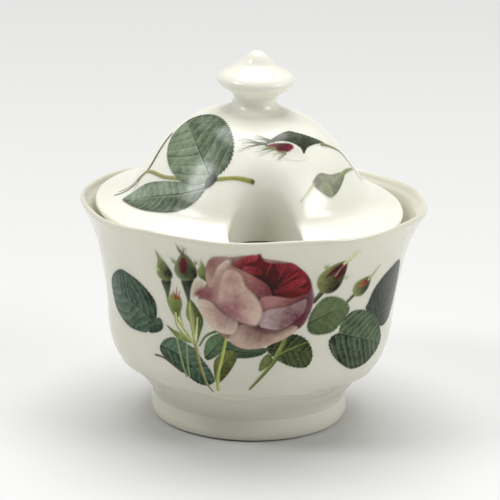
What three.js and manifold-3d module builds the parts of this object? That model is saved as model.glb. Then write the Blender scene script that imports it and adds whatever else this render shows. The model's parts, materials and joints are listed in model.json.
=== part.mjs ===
// Bone-china covered sugar bowl: a flared, footed bowl and a loose drop-in lid with a spoon notch.
// Millimetres, +Z up. The origin is on the table, at the centre of the bowl. The front faces -Y.
import * as THREE from "three";
import { mergeVertices } from "three/addons/utils/BufferGeometryUtils.js";
import Module from "manifold-3d";

const wasm = await Module();
wasm.setup();

const { degToRad, smoothstep } = THREE.MathUtils;

// ---- driving dimensions: bowl ----
const RIM_RADIUS = 58.0; // widest point of the flared lip
const RIM_HEIGHT = 74.8; // top of the lip above the table
const FOOT_RADIUS = 33.2; // bulge of the foot ring
const FOOT_HEIGHT = 7.4; // plane where the foot ring is luted to the body
const JOINT_RADIUS = 32.6; // outer radius of that luted joint
const BOWL_WALL = 2.3;
const LOBES = 8; // soft lobes round the bowl
const LOBE_TURN = degToRad(15 - 90); // a lobe cusp stands 15 degrees right of the front
const LEDGE_HEIGHT = 17.5; // mean height of the scalloped ledge
const LEDGE_WAVE = 1.1; // rise and fall of the ledge
const LEDGE_FADE = [11, 25]; // heights between which the scallops fade in and out
const RIM_WAVE = 0.3; // rise and fall of the lip
const RIM_FADE = 58; // height from which the lip starts to wave
const BOWL_SEGMENTS = 56;

// ---- driving dimensions: lid, with heights above its own brim edge ----
const LID_SEAT = 72.7; // height of the brim edge when the lid is on
const LID_RADIUS = 51.2; // brim edge
const LID_WALL = 2.4;
const LID_SHIFT_X = -1.3; // the loose lid sits a little off centre and a little askew
const LID_PITCH = degToRad(3.2); // front down
const LID_ROLL = degToRad(1.6); // right side down
const LID_TURN = degToRad(7); // the notch stands a little right of the front
const LID_SEGMENTS = 48;
const BRIM_UNDERSIDE = -2.2;
const FLANGE_OUTER = 47.8; // locating flange under the brim
const FLANGE_INNER = 45.2;
const FLANGE_DEPTH = 13;
const NOTCH_RADIUS = 11.6; // the spoon notch is a U in plan, closed by an upright wall
const NOTCH_CENTRE = 42.5; // from the lid's axis to the centre of the U's round end
const NOTCH_STEPS = 16;
const NOTCH_CUT = { bottom: -20, top: 40, front: LID_RADIUS + 10 }; // runs past the lid on all three sides
const KNOB_PAD = 32.4; // height of the flat under the knob
const KNOB_SEGMENTS = 32;
const SLIP_GAP = 0.1; // the film of slip between knob and lid

// ---- materials ----
const china = (name, color, roughness) => {
  const material = new THREE.MeshStandardMaterial({ color, roughness, metalness: 0 });
  material.name = name;
  return material;
};
const bodyChina = china("body_china", 0xeceadd, 0.12);
const footChina = china("foot_china", 0xe2e0d0, 0.2);
const lidChina = china("lid_china", 0xf2f1e6, 0.12);
const knobChina = china("knob_china", 0xf4f3e8, 0.12);

// ---- helpers ----
const points = (pairs) => pairs.map(([r, h]) => new THREE.Vector2(r, h));

// A smooth outline through a few points.
const smooth = (pairs, steps) => new THREE.SplineCurve(points(pairs)).getPoints(steps);

// The outline moved to its left-hand side, into the solid, by a wall thickness.
const insetOutline = (outline, wall) =>
  outline.map((p, i) => {
    const before = outline[Math.max(i - 1, 0)];
    const after = outline[Math.min(i + 1, outline.length - 1)];
    const along = after.clone().sub(before).normalize();
    return new THREE.Vector2(p.x - along.y * wall, p.y + along.x * wall);
  });

// Position is the only attribute left, and shared vertices are one vertex.
const closedMesh = (geometry) => {
  geometry.deleteAttribute("uv");
  geometry.deleteAttribute("normal");
  const closed = mergeVertices(geometry, 1e-4);
  closed.computeVertexNormals();
  return closed;
};

// A turned shape standing on +Z. The outline is (radius, height), up the outside.
const lathe = (outline, segments) => new THREE.LatheGeometry(outline, segments).rotateX(Math.PI / 2);

const solidOf = (geometry) =>
  new wasm.Manifold(
    new wasm.Mesh({
      numProp: 3,
      vertProperties: geometry.attributes.position.array,
      triVerts: new Uint32Array(geometry.index.array),
    }),
  );

const geometryOf = (solid) => {
  const mesh = solid.getMesh();
  const position = new THREE.BufferAttribute(new Float32Array(mesh.vertProperties), mesh.numProp);
  const geometry = new THREE.BufferGeometry().setAttribute("position", position);
  geometry.setIndex(new THREE.BufferAttribute(new Uint32Array(mesh.triVerts), 1));
  geometry.computeVertexNormals();
  return geometry;
};

const named = (name, geometry, material) => {
  const mesh = new THREE.Mesh(geometry, material);
  mesh.name = name;
  return mesh;
};

// ---- bowl body ----
const BOWL_OUTSIDE = [
  [JOINT_RADIUS, FOOT_HEIGHT],
  [32.9, 9.5],
  [35.1, 12.0],
  [39.3, 17.0],
  [43.1, 20.0],
  [46.1, 25.0],
  [47.8, 32.0],
  [48.4, 40.0],
  [49.8, 50.0],
  [51.8, 60.0],
  [54.4, 67.0],
  [56.6, 71.2],
];
const LIP = [
  [RIM_RADIUS, 73.0],
  [57.9, 74.1],
  [57.3, RIM_HEIGHT],
  [56.5, 74.3],
];
const INSIDE_FLOOR = [
  [39.4, 19.6],
  [36.6, 17.0],
  [34.0, 14.9],
  [30.5, 12.8],
  [24.0, 11.6],
  [12.0, 11.0],
  [0, 10.9],
];
const UNDERSIDE = [
  [0, 8.0],
  [20.0, 7.9],
  [27.0, FOOT_HEIGHT],
];
const OUTSIDE_STEPS = 19;
const INSIDE_START = 8; // the inner wall starts at this step of the outside, above the floor's corner

// Waves the lip in and out, and the ledge of the outside up and down.
const wave = (geometry, outline, outsideEnd) => {
  const position = geometry.attributes.position;
  const [fadeIn, fadeOut] = LEDGE_FADE;
  for (let i = 0; i < position.count; i++) {
    const [x, y, z] = [position.getX(i), position.getY(i), position.getZ(i)];
    const lobe = Math.cos(LOBES * (Math.atan2(y, x) - LOBE_TURN));
    const lip = smoothstep(z, RIM_FADE, RIM_HEIGHT);
    const onOutside = i % outline.length < outsideEnd;
    const ledge = onOutside ? smoothstep(z, fadeIn, LEDGE_HEIGHT) * (1 - smoothstep(z, LEDGE_HEIGHT, fadeOut)) : 0;
    const radial = 1 - (RIM_WAVE * lip * (1 + lobe)) / RIM_RADIUS;
    const rise = LEDGE_WAVE * ledge * lobe - RIM_WAVE * lip * (1 - lobe);
    position.setXYZ(i, x * radial, y * radial, z + rise);
  }
};

const bowlBody = () => {
  const outside = smooth(BOWL_OUTSIDE, OUTSIDE_STEPS);
  const inside = insetOutline(outside.slice(INSIDE_START), BOWL_WALL).reverse();
  const outline = [...points(UNDERSIDE), ...outside, ...points(LIP), ...inside, ...points(INSIDE_FLOOR)];
  const geometry = lathe(outline, BOWL_SEGMENTS);
  wave(geometry, outline, UNDERSIDE.length + outside.length + LIP.length);
  return named("bowl_body", closedMesh(geometry), bodyChina);
};

// ---- foot ring ----
const FOOT_OUTLINE = [
  [28.6, FOOT_HEIGHT],
  [29.2, 1.4],
  [30.0, 0.3],
  [30.6, 0],
  [32.0, 0],
  [32.6, 0.6],
  [33.0, 1.6],
  [FOOT_RADIUS, 3.0],
  [32.9, 5.0],
  [JOINT_RADIUS, FOOT_HEIGHT],
  [28.6, FOOT_HEIGHT],
];
const footRing = () => named("foot_ring", closedMesh(lathe(points(FOOT_OUTLINE), BOWL_SEGMENTS)), footChina);

// ---- lid ----
// From the brim edge to the foot of the knob.
const LID_OUTSIDE = [
  [50.9, 0.2],
  [47.0, 1.7],
  [42.4, 3.3],
  [39.2, 5.7],
  [36.9, 9.4],
  [33.2, 14.8],
  [27.9, 21.4],
  [20.4, 28.0],
  [11.0, 31.8],
];
const LID_STEPS = 17;
const PAD = [
  [9.6, KNOB_PAD],
  [0, KNOB_PAD],
];
// Down the inside of the flange, across its edge, and up to the edge of the brim.
const FLANGE = [
  [FLANGE_INNER - 0.4, BRIM_UNDERSIDE - 0.6],
  [FLANGE_INNER, -FLANGE_DEPTH + 0.6],
  [FLANGE_INNER + 0.6, -FLANGE_DEPTH],
  [FLANGE_OUTER - 0.6, -FLANGE_DEPTH],
  [FLANGE_OUTER, -FLANGE_DEPTH + 0.8],
  [FLANGE_OUTER + 0.4, BRIM_UNDERSIDE - 0.2],
  [LID_RADIUS - 0.8, BRIM_UNDERSIDE],
  [LID_RADIUS - 0.2, -1.4],
  [LID_RADIUS, -0.4],
];

// An upright prism with the notch's U plan, open to the front.
const notchPrism = (radius) => {
  const { bottom, top, front } = NOTCH_CUT;
  const shape = new THREE.Shape();
  shape.moveTo(-radius, -front);
  shape.lineTo(radius, -front);
  shape.lineTo(radius, -NOTCH_CENTRE);
  shape.absarc(0, -NOTCH_CENTRE, radius, 0, Math.PI, false);
  shape.closePath();
  const settings = { depth: top - bottom, bevelEnabled: false, curveSegments: NOTCH_STEPS };
  const prism = new THREE.ExtrudeGeometry(shape, settings).translate(0, 0, bottom);
  return solidOf(closedMesh(prism));
};

const lidShell = () => {
  const outside = smooth(LID_OUTSIDE, LID_STEPS);
  const inside = insetOutline(outside, LID_WALL).filter((p) => p.x < FLANGE_INNER - 1.5);
  const insideTop = new THREE.Vector2(0, inside.at(-1).y);
  const shell = [insideTop, ...inside.reverse(), ...points(FLANGE), ...outside, ...points(PAD)];
  // What the notch wall fills: everything between the brim's underside and the middle of the shell.
  const middle = insetOutline(outside, LID_WALL / 2);
  const middleTop = new THREE.Vector2(0, middle.at(-1).y);
  const core = [...points([[0, BRIM_UNDERSIDE], [LID_RADIUS - 1, BRIM_UNDERSIDE]]), ...middle, middleTop];
  const wall = notchPrism(NOTCH_RADIUS + LID_WALL).intersect(solidOf(closedMesh(lathe(core, LID_SEGMENTS))));
  const whole = solidOf(closedMesh(lathe(shell, LID_SEGMENTS))).add(wall);
  return named("lid_shell", geometryOf(whole.subtract(notchPrism(NOTCH_RADIUS))), lidChina);
};

// ---- knob ----
const KNOB_OUTLINE = [
  [9.2, KNOB_PAD + SLIP_GAP],
  [7.6, 33.8],
  [7.1, 36.0],
  [8.6, 38.3],
  [11.3, 39.8],
  [12.9, 42.0],
  [11.6, 44.1],
  [8.3, 45.9],
  [5.6, 47.7],
  [3.8, 49.8],
  [2.2, 51.2],
  [0, 51.7],
];
const KNOB_STEPS = 18;

const knob = () => {
  const outline = [new THREE.Vector2(0, KNOB_PAD + SLIP_GAP), ...smooth(KNOB_OUTLINE, KNOB_STEPS)];
  return named("lid_knob", closedMesh(lathe(outline, KNOB_SEGMENTS)), knobChina);
};

// ---- assembly ----
const sugarBowl = new THREE.Group();
sugarBowl.name = "sugar_bowl";
sugarBowl.add(footRing(), bowlBody());

const lid = new THREE.Group();
lid.name = "lid";
lid.position.set(LID_SHIFT_X, 0, LID_SEAT);
lid.rotation.set(LID_PITCH, LID_ROLL, LID_TURN, "XYZ");
lid.add(lidShell(), knob());
sugarBowl.add(lid);

export default sugarBowl;
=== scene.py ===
"""A covered sugar bowl in bone china with a printed rose spray.

The china is in millimetres until a mesh is made; the lights and the camera are in metres.
"""

import json
import math

import bmesh
import bpy
import numpy as np
from mathutils import Matrix, Vector

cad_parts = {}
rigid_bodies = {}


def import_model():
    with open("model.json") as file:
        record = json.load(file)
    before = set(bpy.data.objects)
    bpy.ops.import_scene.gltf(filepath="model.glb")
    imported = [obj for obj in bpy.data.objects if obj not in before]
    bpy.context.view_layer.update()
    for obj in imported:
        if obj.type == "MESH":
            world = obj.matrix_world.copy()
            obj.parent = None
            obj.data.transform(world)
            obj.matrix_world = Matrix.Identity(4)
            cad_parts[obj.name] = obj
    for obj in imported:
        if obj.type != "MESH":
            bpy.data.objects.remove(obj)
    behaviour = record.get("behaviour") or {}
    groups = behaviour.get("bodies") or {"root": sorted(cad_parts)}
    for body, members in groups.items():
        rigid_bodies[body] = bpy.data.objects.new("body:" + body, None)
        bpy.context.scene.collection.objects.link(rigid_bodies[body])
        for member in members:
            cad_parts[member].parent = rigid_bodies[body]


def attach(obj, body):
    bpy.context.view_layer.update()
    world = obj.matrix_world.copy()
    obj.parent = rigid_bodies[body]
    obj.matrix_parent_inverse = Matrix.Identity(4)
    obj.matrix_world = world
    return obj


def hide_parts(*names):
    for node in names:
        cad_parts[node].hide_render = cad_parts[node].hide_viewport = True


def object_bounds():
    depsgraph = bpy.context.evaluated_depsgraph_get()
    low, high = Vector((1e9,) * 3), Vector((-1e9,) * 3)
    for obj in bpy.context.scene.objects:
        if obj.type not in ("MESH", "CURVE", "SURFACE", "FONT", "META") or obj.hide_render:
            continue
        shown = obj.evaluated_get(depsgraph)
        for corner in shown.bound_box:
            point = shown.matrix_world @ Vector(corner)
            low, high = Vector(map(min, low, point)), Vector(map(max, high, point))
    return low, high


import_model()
cad_low, cad_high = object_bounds()
MM = 0.001
scene_objects = bpy.context.scene.collection.objects

# ---- the bowl: the CAD's shape, with a slightly wider waist and deeper swags ----
RIM_RADIUS = 57.8
RIM_HEIGHT = 74.8
FOOT_HEIGHT = 7.4
JOINT_RADIUS = 32.75
BOWL_WALL = 2.3
LOBES = 8
LOBE_TURN = math.radians(15)  # a lobe's cusp stands this far right of the front
LEDGE_HEIGHT = 18.3
LEDGE_WAVE = 1.5
LEDGE_FADE = (11.0, 26.0)
RIM_WAVE = 0.3
RIM_FADE = 58.0
BOWL_OUTSIDE = [
    (JOINT_RADIUS, FOOT_HEIGHT), (33.3, 9.4), (35, 12), (39.3, 17), (43.1, 20), (46.1, 25),
    (47.8, 32), (48.4, 40), (49.8, 50), (51.8, 60), (54.4, 67), (56.5, 71.2), (RIM_RADIUS, 73.2)]
LIP = [(RIM_RADIUS, 73.2), (57.8, 74.1), (57.3, RIM_HEIGHT), (56.5, 74.3), (55.7, 73)]
INSIDE_FLOOR = [(39.4, 19.6), (36.6, 17), (34, 14.9), (30.5, 12.8), (24, 11.6), (12, 11), (0, 10.9)]
UNDERSIDE = [(0, 8), (20, 7.9), (27, 7.6), (29, FOOT_HEIGHT)]
FOOT_OUTSIDE = [
    (30, 0.5), (30.6, 0.14), (31.3, 0.01), (32, 0.14), (32.7, 0.6), (33.1, 1.6), (33.2, 3), (33, 5),
    (JOINT_RADIUS, FOOT_HEIGHT)]
FOOT_INSIDE = [(28.6, FOOT_HEIGHT), (29, 4), (29.3, 1.6), (30, 0.5)]

# ---- the lid, in its own frame: heights are above the brim's edge ----
LID_SEAT = 72.7
LID_SHIFT_X = -1.3
LID_PITCH = math.radians(3.2)
LID_ROLL = math.radians(1.6)
LID_TURN = math.radians(7)
LID_WALL = 2.4
BRIM_RADIUS = 50.9  # where the top of the brim ends
LID_OUTSIDE = [
    (51.2, -0.4), (BRIM_RADIUS, 0.2), (47, 1.7), (42.4, 3.3), (39.2, 5.7), (36.9, 9.4), (33.2, 14.8),
    (27.9, 21.4), (20.4, 28), (11, 31.8)]
FLANGE_BOTTOM = -13.0
FLANGE_INNER = 45.2
WALL_REACH = 47.0  # the notch's wall and the flange's foot run out to this radius
BRIM_UNDERSIDE = -2.2
NOTCH_RADIUS = 11.6
NOTCH_CENTRE = 42.5
NOTCH_FILLET = (1.3, 4.5)  # at the brim and at the top of the notch
NOTCH_WALL_FOOT = -3.2
CUT_BOTTOM = -20.0  # the cutting shapes run past the lid, below, above and in front
CUT_TOP = 60
CUT_FRONT = -70.0
KNOB = [
    (11, 31.8), (9, 32.6), (7.7, 33.9), (7.1, 36), (8.6, 38.3), (11.3, 39.8), (12.9, 42), (11.5, 44.2),
    (8.2, 45.9), (5.6, 47.6), (4, 49.5), (2.6, 50.9), (1.2, 51.55), (0, 51.7)]

lid_place = (Matrix.Translation((LID_SHIFT_X, 0, LID_SEAT)) @ Matrix.Rotation(LID_PITCH, 4, "X")
             @ Matrix.Rotation(LID_ROLL, 4, "Y") @ Matrix.Rotation(LID_TURN, 4, "Z"))


# ---- outlines and surfaces ----
def hermite(a, b, leave, arrive, w):
    """The curve from a to b that leaves and arrives in the given directions."""
    cubic, square = 2 * a - 2 * b + leave + arrive, 3 * b - 3 * a - 2 * leave - arrive
    return cubic * w**3 + square * w**2 + leave * w + a


def spline(points, count):
    """A Catmull-Rom curve through the points, with its ends held."""
    p = np.array(points, float)
    last = len(p) - 1
    t = np.linspace(0, last, count)
    i = np.minimum(t.astype(int), last - 1)
    w = (t - i)[:, None]
    before, a, b, after = p[np.maximum(i - 1, 0)], p[i], p[i + 1], p[np.minimum(i + 2, last)]
    leave, arrive = (b - before) / 2, (after - a) / 2
    return hermite(a, b, leave, arrive, w)


def even(outline, step):
    """The outline with its points about one step apart."""
    along = np.concatenate([[0], np.cumsum(np.hypot(*np.diff(outline, axis=0).T))])
    wanted = np.linspace(0, along[-1], max(2, round(along[-1] / step) + 1))
    return np.stack([np.interp(wanted, along, outline[:, k]) for k in (0, 1)], axis=1)


def inset(outline, wall):
    """The outline moved to its left-hand side by a wall."""
    along = np.gradient(outline, axis=0)
    along /= np.linalg.norm(along, axis=1)[:, None]
    return outline + wall * np.stack([-along[:, 1], along[:, 0]], axis=1)


def smoothstep(x, low, high):
    t = np.clip((x - low) / (high - low), 0, 1)
    return t * t * (3 - 2 * t)


def around(angle, radius, height):
    """A point at an angle from the front (-Y), positive to the right."""
    return np.stack(np.broadcast_arrays(radius * np.sin(angle), -radius * np.cos(angle), height), axis=-1)


def bowl_wave(angle, radius, height, outside=True):
    """The bowl's lobes: the lip waves, and the ledge outside hangs in shallow swags with a soft bead."""
    lobe = np.cos(LOBES * (angle - LOBE_TURN))
    lip = smoothstep(height, RIM_FADE, RIM_HEIGHT)
    radius = radius * (1 - RIM_WAVE * lip * (1 + lobe) / RIM_RADIUS)
    rise = -RIM_WAVE * lip * (1 - lobe)
    if outside:
        line = LEDGE_HEIGHT + LEDGE_WAVE * lobe
        groove = 0.5 * np.exp(-(((height - line + 2.3) / 1.5) ** 2))
        bead = 0.55 * np.exp(-(((height - line) / 1.0) ** 2)) - groove
        swell = smoothstep(height, *LEDGE_FADE) * (1 - smoothstep(height, 26, 52))
        radius = radius + bead * smoothstep(height, 10, 14) + 0.35 * swell * lobe
    return around(angle, radius, height + rise)


def placed(points, place):
    """Points carried by a 4 x 4 matrix."""
    m = np.array(place)
    return points @ m[:3, :3].T + m[:3, 3]


# ---- meshes ----
def new_piece(name, points, faces):
    """A mesh object from points in millimetres."""
    mesh = bpy.data.meshes.new(name)
    mesh.from_pydata((np.asarray(points) * MM).tolist(), [], [list(map(int, f)) for f in faces])
    mesh.update()
    piece = bpy.data.objects.new(name, mesh)
    scene_objects.link(piece)
    return piece


def ring_faces(rows, columns):
    """Quads between rings of points; each ring closes on itself."""
    i, j = np.meshgrid(np.arange(rows - 1), np.arange(columns), indexing="ij")
    a, b = i * columns + j, i * columns + (j + 1) % columns
    return np.stack([a, b, b + columns, a + columns], axis=-1).reshape(-1, 4)


def patch_faces(rows, columns, start=0):
    """Quads of an open grid."""
    i, j = np.meshgrid(np.arange(rows - 1), np.arange(columns - 1), indexing="ij")
    a = i * columns + j
    return np.stack([a, a + 1, a + 1 + columns, a + columns], axis=-1).reshape(-1, 4) + start


def tidy(piece):
    """Welds coincident points, turns faces outwards and smooths all but the sharp edges."""
    work = bmesh.new()
    work.from_mesh(piece.data)
    bmesh.ops.remove_doubles(work, verts=work.verts, dist=2e-6)
    bmesh.ops.dissolve_degenerate(work, edges=work.edges, dist=1e-7)
    bmesh.ops.recalc_face_normals(work, faces=work.faces)
    work.to_mesh(piece.data)
    work.free()
    piece.data.shade_smooth()
    piece.data.set_sharp_from_angle(angle=math.radians(40))
    return piece


def turned(name, outline, columns, form, place=Matrix.Identity(4)):
    """A turned piece. The outline starts and ends on the axis, or ends where it began."""
    angle = np.linspace(0, 2 * math.pi, columns, endpoint=False)
    points = form(angle[None, :], outline[:, :1], outline[:, 1:])
    piece = new_piece(name, placed(points.reshape(-1, 3), place), ring_faces(len(outline), columns))
    return tidy(piece)


# ---- china ----
def make_bowl():
    outside = even(spline(BOWL_OUTSIDE, 400), 0.55)
    lip = spline(LIP, 18)
    wall = inset(spline(BOWL_OUTSIDE, 400), BOWL_WALL)
    wall = wall[(wall[:, 1] > INSIDE_FLOOR[0][1] + 1) & (wall[:, 1] < 72.4)][::-1]
    inside = even(np.concatenate([wall, spline(INSIDE_FLOOR, 60)]), 1.2)
    under = even(np.array(UNDERSIDE + [(JOINT_RADIUS, FOOT_HEIGHT)]), 2.0)
    columns = 256
    angle = np.linspace(0, 2 * math.pi, columns, endpoint=False)[None, :]
    outlines = (under, outside, lip, inside)
    points = np.concatenate([bowl_wave(angle, o[:, :1], o[:, 1:], o is outside) for o in outlines])
    return tidy(new_piece("bowl_china", points.reshape(-1, 3), ring_faces(len(points), columns)))


def make_foot():
    outline = np.concatenate([spline(FOOT_INSIDE, 16), spline(FOOT_OUTSIDE, 48), [FOOT_INSIDE[0]]])
    return turned("foot_china", outline, 192, around)


def make_knob():
    outline = np.concatenate([[(0.0, 31.0), (10.6, 31.3)], even(spline(KNOB, 300), 0.5)])
    return turned("knob_china", outline, 128, around, lid_place)


def notch_edge(radius):
    """Angle of the notch's side at each radius of the lid, and 0 where the lid is whole."""
    tip = NOTCH_CENTRE - NOTCH_RADIUS
    cosine = (radius**2 + NOTCH_CENTRE**2 - NOTCH_RADIUS**2) / (2 * radius * NOTCH_CENTRE)
    bowed = np.arccos(np.clip(cosine, -1, 1))
    straight = np.arcsin(np.clip(NOTCH_RADIUS / radius, -1, 1))
    meet = math.hypot(NOTCH_RADIUS, NOTCH_CENTRE)
    return np.where(radius <= tip, 0.0, np.where(radius < meet, bowed, straight))


def notch_distance(points):
    """Distance from the notch's U in plan."""
    x, y = points[..., 0], points[..., 1]
    straight = np.abs(x) - NOTCH_RADIUS
    bowed = np.hypot(x, y + NOTCH_CENTRE) - NOTCH_RADIUS
    return np.maximum(np.where(y < -NOTCH_CENTRE, straight, bowed), 0)


def lid_rows():
    """Radii and heights of the dome, with extra rows where the round end of the notch crosses them."""
    tip = NOTCH_CENTRE - NOTCH_RADIUS
    outline = spline(LID_OUTSIDE, 600)[::-1]
    inner = np.linspace(outline[0, 0], tip - 6, 20)
    near = tip - np.array([5.2, 4.5, 3.9, 3.3, 2.7, 2.2, 1.7, 1.3, 0.95, 0.65, 0.4, 0.2, 0.06])
    turn = np.radians(np.arange(0, 90.1, 4.5))
    x, y = NOTCH_RADIUS * np.sin(turn), NOTCH_CENTRE - NOTCH_RADIUS * np.cos(turn)
    outer = np.linspace(math.hypot(NOTCH_RADIUS, NOTCH_CENTRE) + 0.6, BRIM_RADIUS, 13)
    radii = np.concatenate([inner, near, np.hypot(x, y), outer])
    keep = outline[:, 0] < BRIM_RADIUS
    heights = np.interp(radii, outline[keep, 0], outline[keep, 1])
    return np.stack([radii, heights], axis=1)


def lid_columns():
    """Places round the lid from 0 to 1, crowded beside the notch."""
    near = np.array([0, 0.1, 0.25, 0.45, 0.7, 1.0, 1.4, 1.9, 2.5, 3.2, 4.0, 4.9, 5.9, 7.0, 8.2]) / 320
    middle = np.linspace(9.6 / 320, 0.5, 108)
    half = np.concatenate([near, middle])
    return np.concatenate([half, 1 - half[:-1][::-1]])


def lid_points(rows, columns):
    """The lid's grid in plan: its first and last columns lie on the notch's side."""
    edge = notch_edge(rows[:, 0])[:, None]
    angle = edge + columns[None, :] * (2 * math.pi - 2 * edge)
    return around(angle, rows[:, :1], rows[:, 1:])


def fillet(points):
    """Rounds the glaze over the notch's edge, softest where the U is highest."""
    brim, top = NOTCH_FILLET
    round_end = smoothstep(points[..., 1], -NOTCH_CENTRE, NOTCH_RADIUS - NOTCH_CENTRE)
    size = brim + (top - brim) * round_end * (points[..., 1] < 0)
    gap = np.minimum(notch_distance(points), size)
    drop = size - np.sqrt(np.maximum(size**2 - (size - gap) ** 2, 0))
    out = points.copy()
    out[..., 2] -= drop
    return out


def solid_lid():
    """The lid as a solid block with its notch, before it is hollowed."""
    columns = lid_columns()
    count = len(columns)
    dome = lid_rows()
    top = fillet(lid_points(dome, columns))
    side = np.array([
        LID_OUTSIDE[0], (51.0, -1.4), (50.4, BRIM_UNDERSIDE), (48.2, -2.6), (48.0, -7.0), (47.8, -12.2),
        (47.2, FLANGE_BOTTOM)])
    rim = lid_points(side, columns)
    base_rows = dome[dome[:, 0] < WALL_REACH][::-1].copy()
    base_rows[:, 1] = FLANGE_BOTTOM
    base = lid_points(base_rows, columns)
    rings = np.concatenate([top, rim, base])
    faces = [patch_faces(len(rings), count)]
    points = [rings.reshape(-1, 3)]
    total = len(rings) * count
    # The caps over the dome's centre and under it.
    extra = np.array([(0, 0, top[0, 0, 2]), (0, 0, FLANGE_BOTTOM)])
    points.append(extra)
    caps = [(total, j + 1, j) for j in range(count - 1)]
    last = (len(rings) - 1) * count
    caps += [(total + 1, last + j, last + j + 1) for j in range(count - 1)]
    total += 2
    # The notch's wall: upright strips below the dome's edge, on either side.
    tip = NOTCH_CENTRE - NOTCH_RADIUS
    drops = np.array([0, 0.06, 0.14, 0.25, 0.4, 0.6, 0.8, 1])
    walled = [i for i in range(len(dome)) if tip - 0.001 <= dome[i, 0] < WALL_REACH]
    for column in (0, count - 1):
        edge = top[walled, column]
        strip = np.repeat(edge[:, None, :], len(drops), axis=1)
        strip[..., 2] = edge[:, None, 2] + (FLANGE_BOTTOM - edge[:, None, 2]) * drops[None, :]
        points.append(strip.reshape(-1, 3))
        faces.append(patch_faces(len(walled), len(drops), total))
        total += strip.shape[0] * strip.shape[1]
        # The end of the brim and flange, flat against the notch's side.
        end = [top[walled[-1], column], *top[walled[-1] + 1:, column], *rim[:, column], base[0, column]]
        down = strip[-1, ::-1]
        end += list(down[1:-1])
        points.append(np.array(end))
        caps.append(tuple(range(total, total + len(end))))
        total += len(end)
    quads = [tuple(f) for f in np.concatenate(faces)]
    return tidy(new_piece("lid_china", np.concatenate(points), quads + caps))


def notch_prism(radius, low, high):
    """An upright prism with the notch's U plan, open to the front."""
    turn = np.radians(np.linspace(0, 180, 61))
    bowed = np.stack([radius * np.cos(turn), -NOTCH_CENTRE + radius * np.sin(turn)], axis=1)
    plan = np.concatenate([[(-radius, CUT_FRONT), (radius, CUT_FRONT)], bowed])
    points = [(x, y, z) for z in (low, high) for x, y in plan]
    n = len(plan)
    faces = [tuple(range(n))[::-1], tuple(range(n, 2 * n))]
    faces += [(i, (i + 1) % n, n + (i + 1) % n, n + i) for i in range(n)]
    return tidy(new_piece("notch_prism", points, faces))


def boolean(piece, tool, operation):
    """Cuts or joins with an exact boolean, and removes the tool."""
    change = piece.modifiers.new(operation.lower(), "BOOLEAN")
    change.operation = operation
    change.solver = "EXACT"
    change.object = tool
    depsgraph = bpy.context.evaluated_depsgraph_get()
    made = bpy.data.meshes.new_from_object(piece.evaluated_get(depsgraph))
    piece.modifiers.clear()
    piece.data = made
    bpy.data.objects.remove(tool)
    return piece


def make_lid():
    """The dome, brim, flange and notch wall as one casting."""
    outside = spline(LID_OUTSIDE, 400)
    hollow_line = inset(outside, LID_WALL)
    hollow_line = even(hollow_line[hollow_line[:, 0] < FLANGE_INNER - 0.8], 1.2)
    root = [(FLANGE_INNER - 0.3, BRIM_UNDERSIDE - 1.0), (FLANGE_INNER, FLANGE_BOTTOM + 0.8),
            (FLANGE_INNER + 0.6, FLANGE_BOTTOM)]
    below = [(0.0, CUT_BOTTOM), (FLANGE_INNER + 0.6, CUT_BOTTOM)]
    outline = np.array([*below, *reversed(root), *hollow_line, (0.0, hollow_line[-1, 1])])
    hollow = turned("hollow", outline, 160, around)
    boolean(hollow, notch_prism(NOTCH_RADIUS + LID_WALL, NOTCH_WALL_FOOT, CUT_TOP), "DIFFERENCE")
    lid = boolean(solid_lid(), hollow, "DIFFERENCE")
    lid.data.transform(Matrix.Scale(1 / MM, 4))
    lid.data.transform(lid_place)
    lid.data.transform(Matrix.Scale(MM, 4))
    lid.name = "lid_china"
    return tidy(lid)


# ---- materials ----
class Nodes:
    """A material's node tree, made a call at a time."""

    def __init__(self, name):
        self.material = bpy.data.materials.new(name)
        self.material.use_nodes = True
        self.tree = self.material.node_tree
        self.shader = self.tree.nodes["Principled BSDF"]

    def add(self, kind, **settings):
        node = self.tree.nodes.new("ShaderNode" + kind)
        for key, value in settings.items():
            if key in node.inputs:
                node.inputs[key].default_value = value
            else:
                setattr(node, key, value)
        return node

    def link(self, source, target):
        self.tree.links.new(source, target)

    def noise(self, scale, detail):
        place = self.add("TexCoord").outputs["Object"]
        noise = self.add("TexNoise", Scale=scale, Detail=detail, Roughness=0.5)
        self.link(place, noise.inputs["Vector"])
        return noise.outputs["Fac"]

    def ramp(self, source, low, high):
        """Spreads the middle of a noise over a range."""
        limits = {"From Min": 0.3, "From Max": 0.7, "To Min": low, "To Max": high}
        spread = self.add("MapRange", **limits)
        self.link(source, spread.inputs["Value"])
        return spread.outputs["Result"]

    def mix(self, factor, a, b):
        """Mixes two colours; each is a colour or a socket."""
        mix = self.add("Mix", data_type="RGBA")
        self.link(factor, mix.inputs["Factor"])
        for value, socket in ((a, mix.inputs["A"]), (b, mix.inputs["B"])):
            if isinstance(value, bpy.types.NodeSocket):
                self.link(value, socket)
            else:
                socket.default_value = (*value, 1)
        return mix.outputs["Result"]

    def glaze(self, sheen):
        """An uneven gloss and a barely wavy surface."""
        self.link(self.ramp(self.noise(140, 5), *sheen), self.shader.inputs["Roughness"])
        bump = self.add("Bump", Strength=0.05, Distance=0.0004)
        self.link(self.noise(45, 1), bump.inputs["Height"])
        self.link(bump.outputs["Normal"], self.shader.inputs["Normal"])

    def set(self, **values):
        for key, value in values.items():
            self.shader.inputs[key.replace("_", " ")].default_value = value


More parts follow.
